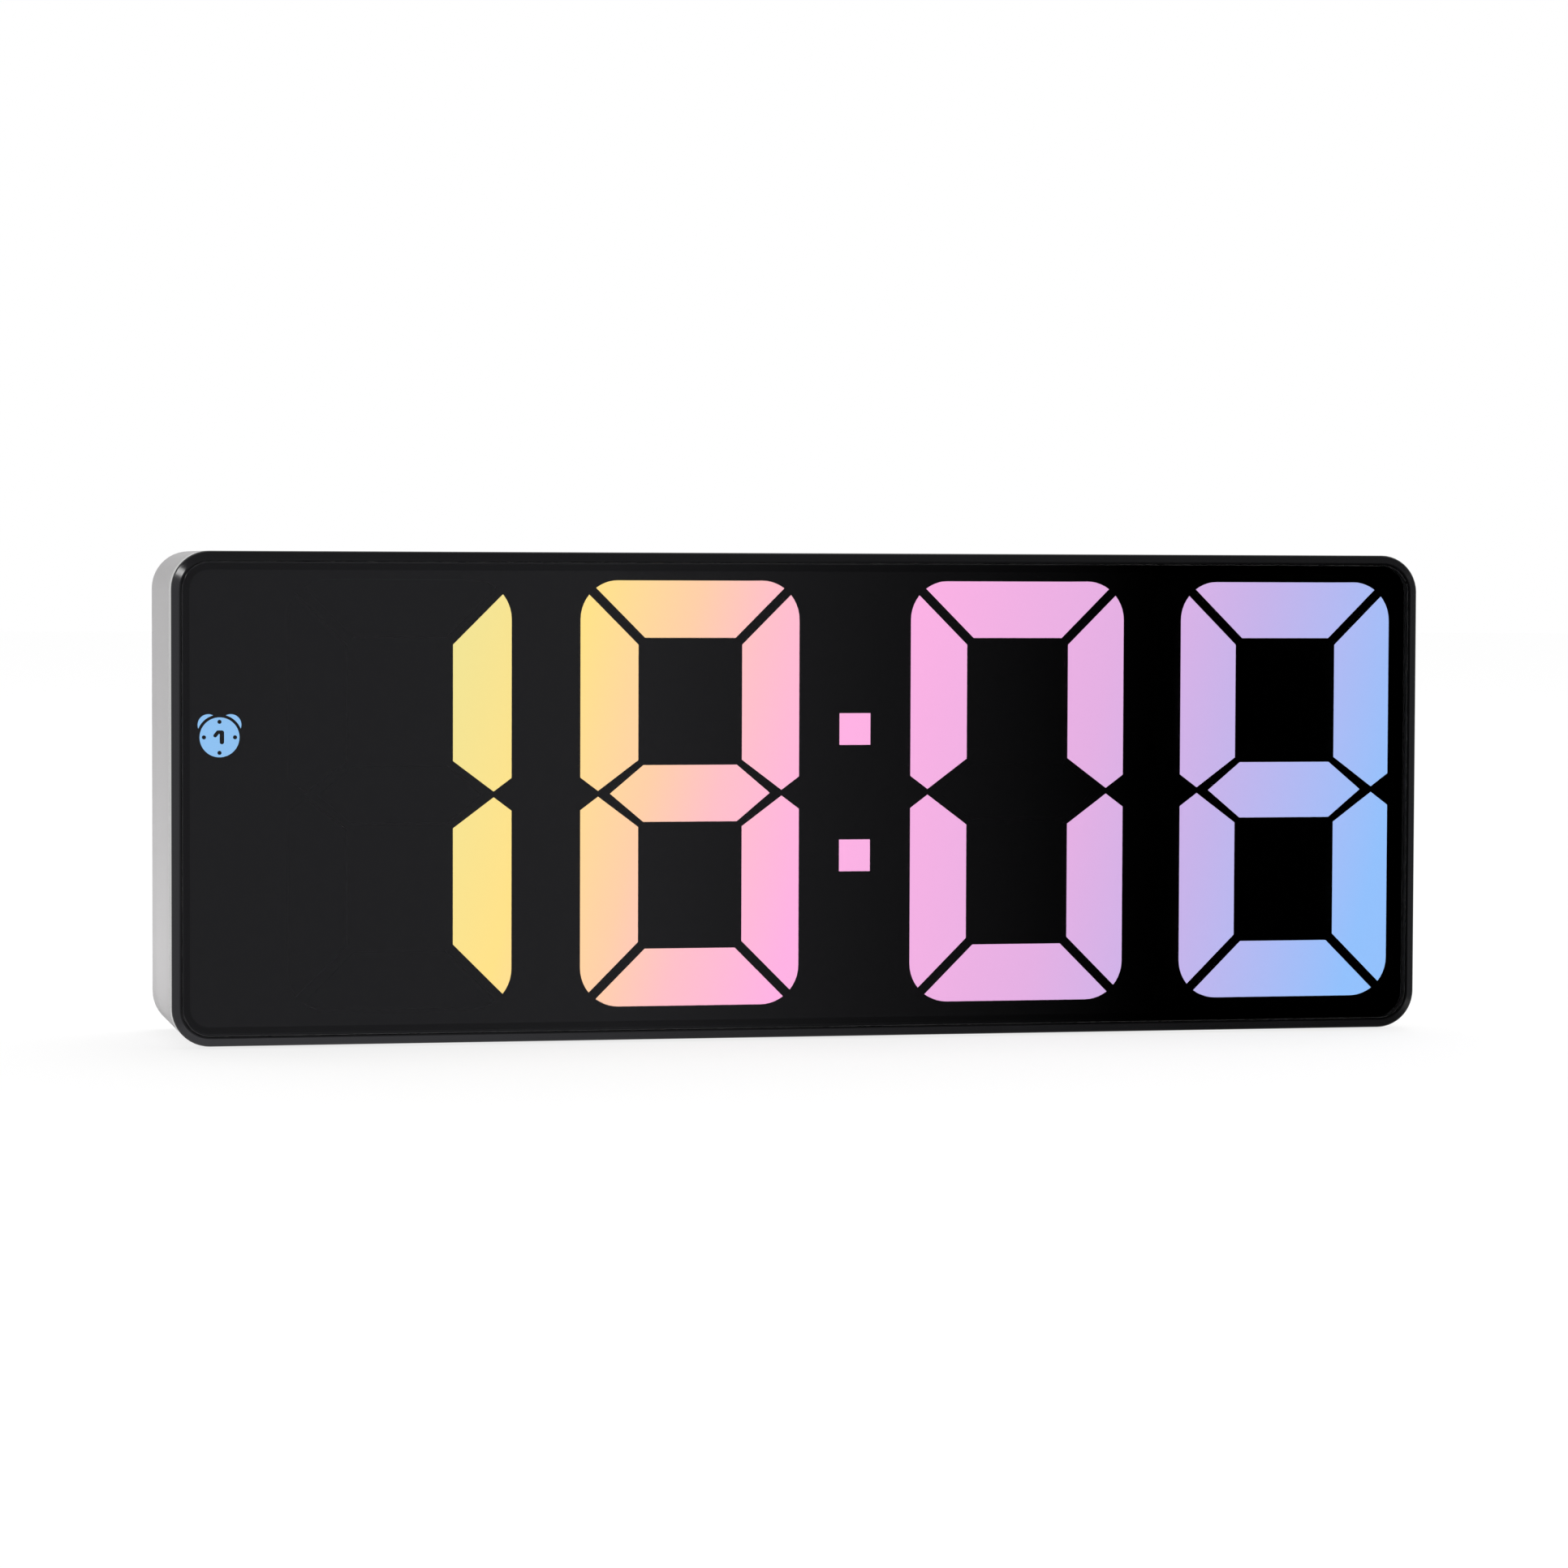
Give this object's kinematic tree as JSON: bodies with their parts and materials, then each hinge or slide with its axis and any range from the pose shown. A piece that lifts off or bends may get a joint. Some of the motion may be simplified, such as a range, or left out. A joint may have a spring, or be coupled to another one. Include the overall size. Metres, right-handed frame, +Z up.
{
  "type": "digital led desk clock",
  "caption": "Low rectangular desk clock: black glossy front with large lit seven-bar digits, light grey housing, hinged battery door, rear buttons and power inlet.",
  "frame": {"origin": "middle of the clock's footprint on the table", "axes": "+X to the right as the digits are read, +Y from the front to the back, +Z up"},
  "size_m": [0.163, 0.03, 0.0623],
  "materials": {
    "black_gloss_plastic": "moulded, polished",
    "smoked_acrylic": "polished sheet",
    "black_tape": "foam tape",
    "black_print": "printed film",
    "lit_bars": "lit from behind",
    "dark_bars": "smoked, not lit",
    "lit_colon": "lit from behind",
    "lit_icon": "lit from behind",
    "icon_ink": "printed",
    "white_plastic": "moulded",
    "circuit_board": "lacquered",
    "led_package": "cast",
    "chip_case": "moulded",
    "crystal_can": "drawn",
    "capacitor_can": "drawn",
    "resistor_body": "fired",
    "screw_steel": "zinc plated",
    "grey_plastic": "finely textured moulding",
    "foot_rubber": "matt",
    "door_plastic": "finely textured moulding",
    "contact_plate": "nickel plated",
    "spring_steel": "nickel plated",
    "header_plastic": "moulded",
    "switch_case": "moulded",
    "inlet_steel": "nickel plated",
    "inlet_plastic": "moulded",
    "sounder_case": "moulded",
    "button_plastic": "moulded",
    "plunger_plastic": "moulded"
  },
  "bodies": {
    "case": {"front_frame": "black_gloss_plastic", "front_lens": "smoked_acrylic", "lens_tape": "black_tape", "display_mask": "black_print", "lit_bar_diffusers": "lit_bars", "dark_bar_diffusers": "dark_bars", "colon_diffusers": "lit_colon", "alarm_icon_diffuser": "lit_icon", "alarm_icon_marks": "icon_ink", "reflector_block": "white_plastic", "display_board": "circuit_board", "bar_leds": "led_package", "controller_chip": "chip_case", "clock_crystal": "crystal_can", "smoothing_capacitor": "capacitor_can", "chip_resistors": "resistor_body", "board_screws": "screw_steel", "rear_housing": "grey_plastic", "housing_screws": "screw_steel", "rubber_feet": "foot_rubber", "battery_contacts": "contact_plate", "battery_springs": "spring_steel", "key_board": "circuit_board", "key_board_screws": "screw_steel", "board_header": "header_plastic", "key_switches": "switch_case", "usb_shell": "inlet_steel", "usb_tongue": "inlet_plastic", "buzzer": "sounder_case"},
    "door": {"battery_door": "door_plastic"},
    "mode_key": {"mode_button": "button_plastic", "mode_plunger": "plunger_plastic"},
    "set_key": {"set_button": "button_plastic", "set_plunger": "plunger_plastic"},
    "up_key": {"up_button": "button_plastic", "up_plunger": "plunger_plastic"},
    "down_key": {"down_button": "button_plastic", "down_plunger": "plunger_plastic"},
    "alarm_key": {"alarm_button": "button_plastic", "alarm_plunger": "plunger_plastic"}
  },
  "joints": [
    {"name": "battery_door_hinge", "type": "hinge", "parent": "case", "child": "door", "pos_m": [-0.018, 0.01415, 0.00775], "axis": [-1, 0, 0], "range_deg": [0, 90]},
    {"name": "mode_button_press", "type": "slide", "parent": "case", "child": "mode_key", "axis": [0, -1, 0], "range_m": [0, 0.0005], "stiffness_N_per_m": 400, "springref_m": -0.0005},
    {"name": "set_button_press", "type": "slide", "parent": "case", "child": "set_key", "axis": [0, -1, 0], "range_m": [0, 0.0005], "stiffness_N_per_m": 400, "springref_m": -0.0005},
    {"name": "up_button_press", "type": "slide", "parent": "case", "child": "up_key", "axis": [0, -1, 0], "range_m": [0, 0.0005], "stiffness_N_per_m": 400, "springref_m": -0.0005},
    {"name": "down_button_press", "type": "slide", "parent": "case", "child": "down_key", "axis": [0, -1, 0], "range_m": [0, 0.0005], "stiffness_N_per_m": 400, "springref_m": -0.0005},
    {"name": "alarm_button_press", "type": "slide", "parent": "case", "child": "alarm_key", "axis": [0, -1, 0], "range_m": [0, 0.0005], "stiffness_N_per_m": 400, "springref_m": -0.0005}
  ]
}
